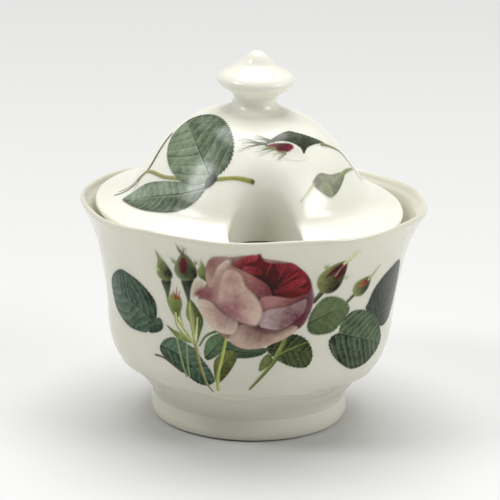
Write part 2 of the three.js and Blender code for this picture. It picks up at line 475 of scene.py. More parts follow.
def glazed_china(name, light, shade, sheen=(0.10, 0.16)):
    """Cream bone china under a clear glaze: faint cloudiness, an uneven gloss and a barely wavy surface."""
    nodes = Nodes(name)
    cloudy = nodes.ramp(nodes.noise(26, 4), 0, 1)
    nodes.link(nodes.mix(cloudy, shade, light), nodes.shader.inputs["Base Color"])
    nodes.glaze(sheen)
    nodes.set(IOR=1.5, Subsurface_Weight=0.12, Subsurface_Scale=0.004)
    nodes.shader.inputs["Subsurface Radius"].default_value = (1.0, 0.8, 0.5)
    return nodes.material


# ---- transfers: sprays painted flat in millimetres, then wrapped on the china ----
CELL = 0.2
LOOP_STEPS = 7  # places on an outline from one point to the next
LIFT = 0.04  # from the china to the film of paint
LID_LIFT = 0.06
FRONT_RADIUS = 50.0  # x on the bowl's sheet is an arc at this radius, y is the height
INK_GLOSS = 0.012  # the glaze's own sheen, taken off the inks
LID_PRINT_TURN = math.radians(2)  # the spray is turned this far from the notch
LID_CROWN = 11.0  # on the lid's sheet a place lies as far from the middle as it does along the dome


def ink(red, green, blue):
    """A display colour as linear light."""
    c = np.array((red, green, blue)) / 255
    return np.where(c < 0.04045, c / 12.92, ((c + 0.055) / 1.055) ** 2.4)


def cloud(shape, size, random):
    """Soft noise from -1 to 1 with blots of a few cells."""
    coarse = random.uniform(-1, 1, (shape[0] // size + 3, shape[1] // size + 3))
    row, column = np.arange(shape[0]) / size, np.arange(shape[1]) / size
    i, j = row.astype(int), column.astype(int)
    u, v = (row - i)[:, None], (column - j)[None, :]
    u, v = u * u * (3 - 2 * u), v * v * (3 - 2 * v)
    upper = coarse[i][:, j] * (1 - v) + coarse[i][:, j + 1] * v
    lower = coarse[i + 1][:, j] * (1 - v) + coarse[i + 1][:, j + 1] * v
    return upper * (1 - u) + lower * u


def loop(points):
    """A closed smooth curve through the points."""
    p = np.array(points, float)
    before, a, b, after = np.roll(p, 1, axis=0), p, np.roll(p, -1, axis=0), np.roll(p, -2, axis=0)
    w = np.linspace(0, 1, LOOP_STEPS, endpoint=False)[None, :, None]
    a, b, leave, arrive = a[:, None], b[:, None], (b - before)[:, None] / 2, (after - a)[:, None] / 2
    return hermite(a, b, leave, arrive, w).reshape(-1, 2)


def to_line(x, y, line):
    """How far along a line each place is, in millimetres, and how far to its left."""
    nearest, along, side = np.full(x.shape, 1e9), np.zeros(x.shape), np.zeros(x.shape)
    travelled = 0.0
    for (ax, ay), (bx, by) in zip(line[:-1], line[1:]):
        dx, dy = bx - ax, by - ay
        length = math.hypot(dx, dy) + 1e-9
        t = np.clip(((x - ax) * dx + (y - ay) * dy) / length**2, 0, 1)
        ox, oy = x - ax - t * dx, y - ay - t * dy
        gap = np.hypot(ox, oy)
        near = gap < nearest
        nearest = np.where(near, gap, nearest)
        along = np.where(near, travelled + t * length, along)
        side = np.where(near, np.where(dx * oy - dy * ox > 0, gap, -gap), side)
        travelled += length
    return along, side, travelled


def within(x, y, shape):
    """Depth inside a closed shape, negative outside, and the nearest place along its edge."""
    ring = np.concatenate([shape, shape[:1]])
    along, side, _ = to_line(x, y, ring)
    crossings = np.zeros(x.shape, int)
    for (ax, ay), (bx, by) in zip(ring[:-1], ring[1:]):
        if ay != by:
            crossings += ((ay > y) != (by > y)) & (x < (bx - ax) * (y - ay) / (by - ay) + ax)
    return np.where(crossings % 2 == 1, np.abs(side), -np.abs(side)), along


def soft(depth, width=0.3):
    return np.clip(0.5 + depth / width, 0, 1)


def blend(low, high, amount):
    return low + (high - low) * np.clip(amount, 0, 1)[..., None]


class Sheet:
    """Fine cells that hold the paint's colour and cover."""

    def __init__(self, left, right, low, high, ground, strength, seed):
        self.x, self.y = np.meshgrid(np.arange(left, right, CELL), np.arange(low, high, CELL))
        self.colour = np.tile(np.array(ground), (*self.x.shape, 1))
        self.cover = np.zeros(self.x.shape)
        self.strength = strength
        self.random = np.random.default_rng(seed)
        self.mottle = sum(0.5 * cloud(self.x.shape, size, self.random) for size in (4, 9, 22))

    def window(self, points, margin=1.5):
        low, high = np.min(points, axis=0) - margin, np.max(points, axis=0) + margin
        rows = slice(*np.searchsorted(self.y[:, 0], (low[1], high[1])))
        return rows, slice(*np.searchsorted(self.x[0], (low[0], high[0])))

    def lay(self, window, mask, colour):
        colour = np.maximum(np.asarray(colour) * self.strength - INK_GLOSS, 0.003)
        self.colour[window] += (colour - self.colour[window]) * mask[..., None]
        self.cover[window] = np.maximum(self.cover[window], mask)

    def petal(self, outline, root, dark, light, reach=None, streak=0.1, rim=0.2, shadow=0.3, edge=0.6):
        """A petal, dark at its root, lighter and streaked outwards, with a pale rim."""
        shape = loop(outline)
        window = self.window(shape)
        x, y = self.x[window], self.y[window]
        depth, _ = within(x, y, shape)
        under = shadow * np.exp(-(np.minimum(depth, 0) / 1.3) ** 2) * (self.cover[window] > 0.5)
        self.colour[window] *= 1 - under[..., None]
        angle = np.arctan2(y - root[1], x - root[0])
        ripple = np.sin(17 * angle + self.mottle[window]) + np.sin(41 * angle + 2) + np.sin(67 * angle + 4)
        far = np.hypot(x - root[0], y - root[1]) / (reach or np.max(np.hypot(*(shape - root).T)))
        pale = 0.5 * rim * np.exp(-((depth / 0.6) ** 2))
        tone = far**1.2 + streak * ripple / 3 + 0.2 * self.mottle[window] + pale
        self.lay(window, soft(depth, edge), blend(ink(*dark), ink(*light), tone))

    def leaf(self, outline, rib, dark, light, spacing, veins, teeth, split=0.2, edge=0.3, line=0.45):
        """A leaf with one lighter half, quilted between its side veins, and a fine toothed edge."""
        shape = loop(outline)
        window = self.window(shape)
        x, y = self.x[window], self.y[window]
        depth, edge_place = within(x, y, shape)
        depth = depth + teeth * (edge_place / 1.5 % 1 - 0.5)
        along, side, length = to_line(x, y, spline(rib, 22))
        mottle = self.mottle[window]
        bent = 0.55 * np.abs(side) + 0.035 * side**2
        phase = (along - bent + 0.45 * mottle) / spacing + 0.5 * (side > 0)
        uneven = 1 + 0.5 * np.sin(2.3 * np.floor(phase) + np.sign(side))
        phase = phase % 1
        quilt = np.exp(-((np.minimum(phase, 1 - phase) * spacing / 0.26) ** 2))
        tone = 0.45 + split * np.tanh(side / 0.6) + veins * uneven * (0.9 * quilt + 0.9 * (0.5 - phase))
        tone += 0.3 * mottle - 0.28 * np.exp(-np.maximum(depth, 0) / 0.7)
        self.lay(window, soft(depth, edge), blend(ink(*dark), ink(*light), tone))
        if line:
            width = line * (1.2 - along / length)
            rib_mask = soft(width / 2 - np.abs(side), 0.25) * soft(depth) * (along < length * 0.97)
            self.lay(window, 0.85 * rib_mask, ink(*dark) * 0.4)
            glint = np.exp(-(((side - width) / 0.25) ** 2)) * soft(depth)
            self.lay(window, 0.35 * glint, ink(*light) * 1.25)

    def patch(self, outline, colour, edge=0.6, strength=1.0):
        """A plain blot of paint with soft edges."""
        shape = loop(outline)
        window = self.window(shape)
        depth, _ = within(self.x[window], self.y[window], shape)
        tone = 1 + 0.12 * self.mottle[window]
        self.lay(window, strength * soft(depth, edge), ink(*colour) * tone[..., None])

    def stem(self, points, start, end, dark, light, strength=1.0):
        """A tapering stroke, darker on its right."""
        line = spline(points, 20)
        window = self.window(line, 1.5 + start)
        along, side, length = to_line(self.x[window], self.y[window], line)
        half = (start + (end - start) * along / length) / 2
        tone = 0.5 + 0.5 * side / half + 0.15 * self.mottle[window]
        self.lay(window, strength * soft(half - np.abs(side), 0.25), blend(ink(*dark), ink(*light), tone))

    def hairs(self, root, aim, spread, length, count, colour, width=0.25):
        """A tuft of short fine strokes. Angles are in degrees from +x."""
        for _ in range(count):
            turn = math.radians(aim + self.random.uniform(-spread, spread))
            reach = length * self.random.uniform(0.6, 1.0)
            start = np.array(root) + self.random.uniform(-0.5, 0.5, 2)
            bend = turn + self.random.uniform(-0.3, 0.3)
            middle = start + 0.5 * reach * np.array([math.cos(turn), math.sin(turn)])
            tip = middle + 0.5 * reach * np.array([math.cos(bend), math.sin(bend)])
            self.stem([start, middle, tip], width, 0.08, colour, colour, 0.8)


def lifted(points, lift=LIFT):
    """A grid of points moved out along its own normals."""
    normal = np.cross(np.gradient(points, axis=1), np.gradient(points, axis=0))
    return points + lift * normal / np.linalg.norm(normal, axis=-1)[..., None]


def on_bowl(x, y):
    """Where the places of a flat sheet lie on the bowl."""
    outline = spline(BOWL_OUTSIDE, 400)
    return lifted(bowl_wave(x / FRONT_RADIUS, np.interp(y, outline[:, 1], outline[:, 0]), y))


def on_lid(x, y):
    """Where the places of a flat sheet lie on the lid."""
    outline = spline(LID_OUTSIDE, 400)[::-1]
    along = LID_CROWN + np.concatenate([[0], np.cumsum(np.hypot(*np.diff(outline, axis=0).T))])
    reach = np.hypot(x, y)
    radius, height = (np.interp(reach, along, outline[:, k]) for k in (0, 1))
    angle = np.arctan2(x, -y) - LID_PRINT_TURN
    flat = around(angle, np.where(reach < LID_CROWN, reach, radius), height)
    return placed(lifted(fillet(flat), LID_LIFT), lid_place)


def transfer(name, sheet, points, body, material):
    """The painted cells of a sheet as a thin skin on the china."""
    painted = sheet.cover > 0.02
    cells = painted[:-1, :-1] | painted[1:, :-1] | painted[:-1, 1:] | painted[1:, 1:]
    i, j = np.nonzero(cells)
    wide = sheet.x.shape[1]
    a = i * wide + j
    quads = np.stack([a, a + 1, a + 1 + wide, a + wide], axis=-1)
    used, quads = np.unique(quads, return_inverse=True)
    piece = new_piece(name, points.reshape(-1, 3)[used], quads.reshape(-1, 4))
    paint = piece.data.attributes.new("paint", "FLOAT_COLOR", "POINT")
    rgba = np.ones((len(used), 4))
    rgba[:, :3] = np.clip(sheet.colour.reshape(-1, 3)[used], 0, 1)
    paint.data.foreach_set("color", rgba.ravel())
    piece.data.shade_smooth()
    piece.data.materials.append(material)
    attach(piece, body)
    return piece


def printed_glaze(name, gloss, sheen):
    """Transfer colours under the glaze, slightly uneven in the ink."""
    nodes = Nodes(name)
    paint = nodes.add("Attribute", attribute_name="paint").outputs["Color"]
    tone = nodes.ramp(nodes.noise(420, 3), 0.0, 0.1)
    nodes.link(nodes.mix(tone, paint, (0.06, 0.05, 0.04)), nodes.shader.inputs["Base Color"])
    nodes.glaze(sheen)
    nodes.set(IOR=1.5, Specular_IOR_Level=gloss)
    return nodes.material


def paint_rose(sheet):
    """A full rose: pale outer petals, a cream front petal, a dusky cup and a ruffled crimson heart."""
    sheet.petal(
        [(-17, 52), (-13.8, 59), (-13.6, 64.8), (-11.2, 69), (-6, 69.6), (-1.4, 70.4), (3.9, 69), (7.9, 68),
         (12, 66.6), (17.2, 62), (19.3, 56), (18.5, 50), (15, 43.5), (7, 39), (-2.6, 37.4), (-7, 40),
         (-12, 43.4)],
        (2, 54), (104, 66, 66), (160, 126, 118), rim=0.3, shadow=0)
    sheet.petal(
        [(17.6, 59), (19.6, 56), (20, 52), (18, 46), (15, 43.4), (12, 44.5), (17, 50.5)],
        (15, 47), (88, 42, 52), (130, 92, 102), rim=0.4)
    sheet.petal(
        [(-4, 44.6), (-1, 45.4), (6, 44.4), (12.4, 45.2), (15.4, 44), (12, 41), (7.2, 39), (3, 37.4),
         (-2.6, 37.2), (-7, 40)],
        (3, 45), (96, 58, 60), (174, 152, 136), reach=8.5, streak=0.08, rim=0.25)
    sheet.petal(
        [(-13.6, 58), (-13.5, 64.4), (-11.2, 68.6), (-6.5, 69.6), (-5.8, 65), (-8, 58.6), (-9.5, 54)],
        (-12.5, 67), (124, 88, 84), (174, 148, 136), reach=9, streak=0.12)
    sheet.petal(
        [(-11.9, 57.5), (-10.9, 63.2), (-9, 66.6), (-6.6, 68.3), (-6.2, 62.5), (-8, 57.5), (-9.6, 54.6)],
        (-10, 55), (148, 110, 102), (192, 174, 158), streak=0.12, rim=0.15, shadow=0.12)
    sheet.petal(
        [(-17, 52.8), (-13, 52.6), (-9.6, 49.4), (-4.2, 46.6), (-6, 42), (-12, 43.2), (-16.4, 48.6)],
        (-8, 50), (138, 100, 100), (196, 180, 162), reach=9.5, streak=0.08, rim=0.1)
    sheet.petal(
        [(-19.2, 53.2), (-18.4, 58.2), (-16.3, 60.2), (-14.2, 59), (-16, 54.6)],
        (-15, 55), (150, 118, 112), (190, 184, 162))
    sheet.petal(
        [(-18, 54.4), (-16, 56.8), (-13, 57.6), (-10, 57.2), (-8.2, 54.4), (-9.4, 52.4), (-13.4, 53.4)],
        (-16, 54.5), (112, 64, 72), (156, 116, 110), reach=8, streak=0.14, rim=0.05, shadow=0.1, edge=1.2)
    sheet.patch(
        [(3.6, 44.4), (8, 44.6), (14, 46.6), (15, 44.6), (9, 42.2), (4.6, 42.6)], (98, 60, 62), 1.6, 0.5)
    paint_heart(sheet)
    sheet.petal(
        [(-6.6, 66.2), (-1.6, 63.7), (2.6, 61), (5.2, 58.6), (6.2, 55.4), (3.3, 54.6), (-0.3, 56.8),
         (-4.2, 58.2), (-6.2, 62)],
        (6, 58), (98, 40, 50), (156, 112, 106), reach=10, streak=0.16, rim=0.22)
    sheet.petal(
        [(3, 49.6), (2.7, 54.4), (6.4, 55.4), (12.8, 54.4), (17.4, 55.4), (16.2, 52.2), (10.6, 51)],
        (17, 54), (102, 48, 58), (156, 110, 106), reach=11, rim=0.25)
    sheet.petal(
        [(2.8, 49.2), (6.7, 50.9), (11.9, 51.7), (17.4, 53.8), (17.8, 49.9), (13.6, 45.8), (9.4, 43.6),
         (3.7, 44.6), (2.4, 47)],
        (16.5, 46), (80, 26, 40), (170, 150, 148), reach=13, streak=0.06, rim=0.1, shadow=0.4)
    sheet.stem(
        [(18, 54), (17.4, 49.4), (13.4, 45.4), (9, 43.6), (4, 44.4)],
        0.7, 0.25, (72, 10, 26), (92, 28, 44), 0.7)
    sheet.petal(
        [(-10.4, 52.8), (-9.6, 58.4), (-8, 63.4), (-5.6, 64.6), (-3.2, 62.6), (-2, 59), (1.6, 54.8),
         (3.4, 50.4), (2.7, 47), (1.2, 45.3), (-4.6, 47), (-8.6, 50)],
        (-9, 51), (132, 84, 88), (192, 170, 154), reach=12.5, streak=0.06, rim=0.1, shadow=0.35, edge=0.9)
    sheet.patch([(-10.6, 53), (-10, 60), (-8, 65.4), (-6, 62), (-7, 54)], (178, 150, 140), 3.4, 0.75)
    sheet.patch([(-9.4, 50.4), (-8, 52.6), (-4, 49.4), (-1, 46.6), (-4.6, 46.8)], (142, 98, 100), 2.4, 0.45)
    sheet.patch(
        [(-7.4, 60.6), (-6.4, 64.4), (-4.6, 64.4), (-2.8, 61.6), (-4.4, 59)], (146, 110, 102), 2.2, 0.55)


def paint_heart(sheet):
    """The crimson heart and its ruffles."""
    sheet.petal(
        [(-5, 66.2), (-3, 68.4), (0, 69.2), (2, 71), (4, 67.8), (9, 66.9), (12, 66.7), (17.3, 61.4),
         (18.3, 56.6), (12.8, 54), (6.4, 55.4), (2.6, 60), (-1.4, 64)],
        (5, 58.5), (38, 0, 4), (104, 8, 20), reach=12, streak=0.3, rim=0.15, shadow=0.2)
    pink, deep = (150, 64, 72), (80, 4, 14)
    sheet.petal(
        [(-5.2, 66.8), (-1.4, 70.3), (1.6, 70.4), (0.6, 67.8), (-1.9, 66.8), (-3, 65.2)],
        (-1, 66), deep, pink, streak=0.35)
    sheet.petal(
        [(-3, 65.2), (-0.6, 66.4), (2.4, 65.4), (2.7, 63.2), (-0.4, 63.4)],
        (3, 65.2), deep, pink, streak=0.3)
    sheet.petal(
        [(7, 66.9), (9.2, 66.6), (12, 66.6), (14, 64.6), (10.9, 63.6), (9, 62)],
        (8.6, 62.5), deep, (136, 46, 56), streak=0.35)
    sheet.petal(
        [(10.6, 62.8), (14.4, 64.2), (17, 61.6), (14, 60.6), (9.6, 60)],
        (8.5, 60), deep, (124, 30, 42), streak=0.35)
    sheet.petal(
        [(7, 56), (9.4, 59.2), (13.5, 61), (17.2, 60.4), (14, 57.8), (10, 56.2)],
        (6.5, 56), deep, (136, 44, 54), streak=0.4)
    sheet.petal(
        [(7.7, 55.6), (13, 56.6), (17.4, 58.2), (16.8, 54.8), (12.8, 54)],
        (8, 56), (74, 2, 14), (112, 20, 32), streak=0.35)
    for k in range(10):
        turn = math.radians(4 + 6.5 * k)
        aim = np.array([math.cos(turn), math.sin(turn)])
        reach = 9.6 + 1.2 * math.sin(2.1 * k)
        tone = (44, 0, 6) if k % 2 else (146, 50, 62)
        sheet.stem(
            [(6.4, 56.2) + 3 * aim, (6.4, 56.6) + 0.6 * reach * aim, (6.4, 56.2) + reach * aim],
            0.1, 0.5, tone, tone, 0.45)
    creases = (
        (6.6, 57, 14, 63.4), (7, 57, 16.4, 60), (8, 61, 9.6, 66), (6.8, 56.4, 15.6, 57.6),
        (4, 62, 5.6, 67), (-2.6, 66, 0.8, 69))
    for x, y, tip_x, tip_y in creases:
        sheet.stem(
            [(x, y), ((x + tip_x) / 2, (y + tip_y) / 2 + 0.6), (tip_x, tip_y)],
            0.15, 0.4, (126, 34, 44), (156, 70, 78), 0.55)


def paint_buds(sheet):
    """Five mossy buds with crimson slits, on either side of the rose."""
    green, shade, olive = (120, 130, 84), (28, 32, 20), (104, 114, 66)
    sheet.stem(
        [(-27.7, 53.5), (-27.3, 49.5), (-25.1, 45.5), (-18.8, 37.5)], 1.2, 0.7, olive, (184, 190, 132))
    sheet.petal(
        [(-29.4, 57.6), (-26, 58.2), (-26.4, 55.3), (-27.6, 51.8), (-28.9, 54.8)],
        (-26.4, 57), (42, 48, 36), (94, 100, 80), rim=0)
    sheet.petal(
        [(-29.6, 67.8), (-28, 65.6), (-26.2, 63), (-25, 60.2), (-26.2, 58), (-29, 57.6), (-30.8, 59.2),
         (-30.3, 62.2), (-29.6, 65)],
        (-25.6, 60.5), shade, green, reach=5.5, rim=0.1)
    sheet.hairs((-30.2, 61), 130, 50, 1.6, 9, (160, 176, 122))
    sheet.stem([(-20.1, 53), (-20, 47), (-18.6, 38)], 1.2, 0.8, olive, (170, 178, 120))
    sheet.petal(
        [(-22, 59.4), (-18, 59.8), (-19, 56), (-20.1, 51.6), (-21.6, 55.6)],
        (-18.6, 58), (32, 38, 28), (82, 88, 70), rim=0)
    sheet.petal(
        [(-24.2, 62), (-22.4, 66.1), (-20.2, 68.6), (-17.8, 66.8), (-16.4, 62.4), (-17.9, 59.6),
         (-22.2, 58.9)],
        (-17.4, 61.5), (16, 18, 12), (112, 120, 88), reach=6.5, rim=0.12)
    sheet.petal(
        [(-20.1, 68), (-19.4, 65), (-20.2, 61.9), (-22, 61.4), (-21.9, 64.8)],
        (-20, 63), (52, 2, 8), (108, 22, 28), rim=0.1, shadow=0.4)
    sheet.hairs((-20.4, 67.6), 95, 26, 4.6, 18, (78, 88, 54), 0.35)
    sheet.hairs((-23.4, 64.5), 130, 40, 2.2, 14, (112, 124, 80))
    sheet.hairs((-17.2, 65), 50, 40, 2.2, 12, (112, 124, 80))
    sheet.petal(
        [(-27.4, 51.4), (-25.8, 53.8), (-24.2, 53), (-22.8, 52.6), (-22.6, 49.8), (-24.4, 45.4),
         (-26.6, 48)],
        (-24, 48), (74, 86, 44), (128, 138, 86), rim=0.1)
    for root, tip in ((-24.4, (-24, 56.2)), (-25, (-25.4, 54.6)), (-23.6, (-23, 54.8))):
        sheet.stem([(root, 52), (root, 53), tip], 0.9, 0.15, (104, 32, 22), (152, 66, 48), 0.85)
    sheet.stem([(-25.3, 46.8), (-24.6, 42.4), (-19.6, 37.8)], 0.9, 0.7, olive, (190, 196, 140))
    sheet.stem([(20.2, 52.8), (22.8, 56)], 1.5, 1.8, (34, 38, 24), (96, 102, 68))
    sheet.petal(
        [(22.3, 55.6), (20.4, 58.7), (20.9, 62), (24.2, 65), (28.4, 66.4), (29.5, 65.2), (29.9, 61),
         (28.8, 57), (26, 55)],
        (28, 57), (18, 20, 12), (120, 124, 78), reach=8, rim=0.12)
    sheet.petal(
        [(23.2, 60.8), (25.2, 64), (28.6, 66.2), (29.3, 65), (26.6, 62.4)],
        (26, 63), (50, 4, 6), (104, 34, 26), rim=0.1)
    sheet.petal(
        [(26.2, 59.4), (27, 62.6), (29.3, 65.4), (29.8, 61.6), (28, 60)],
        (28, 62), (40, 12, 12), (94, 30, 26), rim=0.1)
    sheet.stem([(26.5, 61), (27.6, 63.4), (29, 65.2)], 0.5, 0.3, (150, 100, 90), (188, 140, 126), 0.8)
    for tip, width in (((31.8, 70), 1.3), ((30.2, 69.4), 1.0), ((33.4, 68.8), 0.6)):
        sheet.stem([(28.6, 65.4), (30.4, 67.2), tip], width, 0.3, (150, 164, 108), (196, 204, 150), 0.85)
    sheet.hairs((23, 64), 120, 40, 2.0, 16, (128, 138, 84))
    sheet.hairs((30, 60), -20, 40, 1.6, 9, (150, 162, 110))
    sheet.stem([(32.4, 50.6), (35.6, 53.2)], 1.3, 1.3, (50, 56, 34), (112, 118, 82))
    sheet.petal(
        [(35.6, 52.4), (34.3, 54.9), (35.6, 57.4), (40.8, 58.4), (42, 57.2), (41.4, 54), (39, 52)],
        (40.5, 54), (36, 40, 26), (118, 124, 78), reach=5.5)
    sheet.petal(
        [(36.9, 55.4), (38.6, 57.2), (41.4, 57.6), (39.8, 55.6)],
        (40, 57), (94, 26, 20), (170, 84, 56), rim=0.1)
    sheet.stem([(41, 57.2), (43.1, 59.2), (44.9, 61.2)], 1.3, 0.7, (120, 130, 88), (170, 178, 132), 0.9)
    sheet.petal(
        [(-16.6, 62.6), (-15.4, 65.2), (-14.9, 67.4), (-13.6, 64.6), (-12.4, 61), (-14.1, 59.4),
         (-16, 60.8)],
        (-14, 60), (90, 102, 56), (138, 148, 96), shadow=0)


def paint_leaves(sheet):
    """The leaves behind and round the rose."""
    teal, teal_light = (16, 30, 22), (78, 102, 82)
    sheet.leaf(
        [(-58.6, 48.6), (-55.5, 53), (-49, 56.6), (-44.3, 56.4), (-39.6, 55), (-35.6, 52.4), (-32.9, 49.1),
         (-32.8, 44.9), (-34.2, 40.8), (-38, 37.6), (-43, 36.8), (-48, 37), (-53, 38.8), (-57.4, 42.2)],
        [(-33.6, 41.8), (-41.2, 45.2), (-48.6, 47.2), (-55.4, 52.6)], teal, teal_light, 3.2, 0.55, 0.25,
        split=0.12)
    sheet.leaf(
        [(-34.4, 42.4), (-31.8, 44), (-30.4, 42.2), (-31, 40), (-33.7, 38.4), (-37, 38)],
        [(-34.6, 40.4), (-31, 42)], (36, 52, 40), (72, 94, 74), 1.5, 0.1, 0.15)
    sheet.leaf(
        [(42.4, 46.3), (43, 48.9), (44.4, 52.2), (47, 55), (51.6, 57.8), (59.5, 59.6), (64, 52), (64, 43.5),
         (60.4, 38.8), (53.6, 37.8), (49, 41.6)],
        [(51, 39.4), (53.4, 46), (56, 52), (59.4, 58.8)], (24, 28, 24), (60, 68, 58), 3.2, 0.34, 0.1,
        split=0.1)
    sheet.leaf(
        [(18.8, 43.2), (19.2, 48), (21.6, 52), (24.2, 53.8), (28.3, 53.4), (32.4, 51), (34.4, 48),
         (33, 45.4), (30.9, 43), (28, 41), (22, 41)],
        [(18.8, 45), (22.8, 46.8), (28.1, 48.6), (33.6, 49)], (58, 72, 44), (98, 112, 78), 3.4, 0.24, 0.2,
        split=0.12, edge=0.6)
    sheet.leaf(
        [(31, 40.6), (31.4, 43.6), (33.3, 45.8), (36.4, 47.2), (41.6, 46.4), (46.7, 44), (51.6, 39.6),
         (54.2, 34.7), (53.2, 30.8), (49.5, 28), (45.6, 26.2), (39.8, 26), (35, 28.2), (30, 32.2),
         (27.3, 37), (28.4, 39.6)],
        [(29.6, 40.3), (36.6, 38.2), (46, 35), (54, 32.6)], (16, 26, 16), (88, 106, 78), 2.9, 0.62, 0.3,
        split=0.14)
    sheet.leaf(
        [(5.3, 37.2), (8.8, 40), (12.1, 41.6), (15.2, 41.8), (18.6, 39.9), (20.9, 36.4), (21.2, 32.8),
         (19.3, 30.2), (15, 30.6), (9.7, 33)],
        [(5.9, 36.9), (12.9, 36.4), (20.9, 35.2)], (18, 26, 14), (84, 94, 60), 2.2, 0.42, 0.3, split=-0.1)
    sheet.leaf(
        [(-9, 39.6), (-4.8, 38.6), (-1, 37.4), (4.5, 37.6), (6.2, 37.2), (3.5, 35), (-2.5, 33.8),
         (-8, 34.6)],
        [(-8.6, 37), (-1, 35.8), (5.8, 36.8)], (40, 56, 42), (80, 100, 76), 2.4, 0.2, 0.1)
    sheet.stem([(-7.6, 34.8), (-1, 35.3), (3.4, 36)], 0.6, 0.4, (34, 44, 30), (72, 84, 56))
    sheet.leaf(
        [(-15.4, 34.4), (-14.6, 38.6), (-12, 41.2), (-8, 42.2), (-7.8, 38.9), (-9.6, 35.2), (-14, 32.3)],
        [(-14.8, 33), (-12, 36.5), (-8.4, 41.4)], (50, 68, 48), (94, 114, 84), 2.4, 0.2, 0.15)
    sheet.leaf(
        [(-12.1, 31.3), (-10.4, 34.3), (-7.8, 36.4), (-4.6, 35.9), (-4.6, 32.6), (-8.2, 26.7),
         (-11.5, 24.4)],
        [(-11.2, 25), (-9, 30.6), (-5.6, 35.2)], (58, 66, 32), (106, 112, 64), 2.0, 0.15, 0.1)
    sheet.leaf(
        [(-32.1, 33.2), (-31, 36), (-28, 38), (-24.7, 38.2), (-19, 35.9), (-16, 32.6), (-13.2, 28.7),
         (-12, 25), (-15.1, 22.8), (-18.7, 23.4), (-22.3, 26), (-26, 28), (-29.9, 30.4)],
        [(-31.4, 34.4), (-24, 32.6), (-18.4, 28.6), (-12.8, 24.2)], (32, 48, 38), (88, 110, 90), 2.6, 0.45,
        0.2)


def paint_stems(sheet):
    """The stems gathered below the buds, and the cut ends."""
    green, pale = (130, 144, 84), (184, 192, 138)
    sheet.stem([(-34.4, 30.7), (-30, 30.4), (-23.7, 27)], 0.7, 0.9, (42, 38, 30), (92, 84, 68))
    sheet.stem([(-16.9, 37), (-14.6, 40.6), (-10.6, 42.8)], 0.6, 1.0, (56, 74, 50), (104, 122, 84))
    sheet.stem([(-25.2, 38), (-23.6, 31.6), (-22.2, 25.4)], 0.9, 0.7, (88, 110, 74), (136, 156, 112))
    sheet.stem([(-21.5, 36.6), (-21.3, 31), (-21, 25.6)], 0.8, 0.7, (84, 106, 72), (130, 150, 108))
    sheet.leaf(
        [(-19.9, 52.5), (-16.7, 49.1), (-15.4, 45.6), (-16.6, 41), (-18.4, 37), (-19.8, 43.5),
         (-21.4, 46.9)],
        [(-18.4, 37.2), (-18.2, 45), (-19.6, 52)], (68, 80, 40), (136, 146, 94), 2.0, 0.1, 0, split=0.3)
    sheet.leaf(
        [(-29, 42), (-26.2, 41), (-23, 40.4), (-18.5, 38), (-21, 37.4), (-25, 38.4)],
        [(-28.6, 41.8), (-24, 39.6), (-18.6, 37.8)], (96, 110, 60), (160, 170, 112), 2.0, 0.05, 0)
    sheet.stem([(-23.6, 46.9), (-21.9, 41.6), (-18.6, 37.6)], 0.8, 0.7, green, pale)
    sheet.stem([(-17.4, 46.6), (-17.9, 42), (-18.6, 37.2)], 0.3, 1.2, (160, 168, 112), (204, 206, 160))
    sheet.stem(
        [(-18.5, 38), (-17.2, 31.8), (-16.1, 27.4), (-15, 23.4), (-13.4, 20.6)],
        1.3, 0.8, (96, 92, 56), (158, 156, 106))
    sheet.stem(
        [(-7.6, 42), (-9.4, 33), (-10.8, 27.2), (-11.2, 21.4)], 0.9, 1.2, (122, 136, 58), (176, 186, 106))
    sheet.stem([(0.2, 22.6), (4.8, 28.6), (8.2, 33.4), (11.4, 39.6)], 0.8, 2.0, (56, 64, 30), (138, 146, 84))
    sheet.stem([(8.6, 34.6), (13, 36.8), (19.6, 39)], 0.7, 0.3, (66, 76, 36), (132, 142, 82))
    sheet.leaf(
        [(3.4, 29.4), (3.6, 33), (6, 35.6), (7.6, 33)],
        [(4.6, 29.6), (6.4, 35)], (62, 72, 38), (120, 130, 80), 1.4, 0.1, 0.1, line=0)


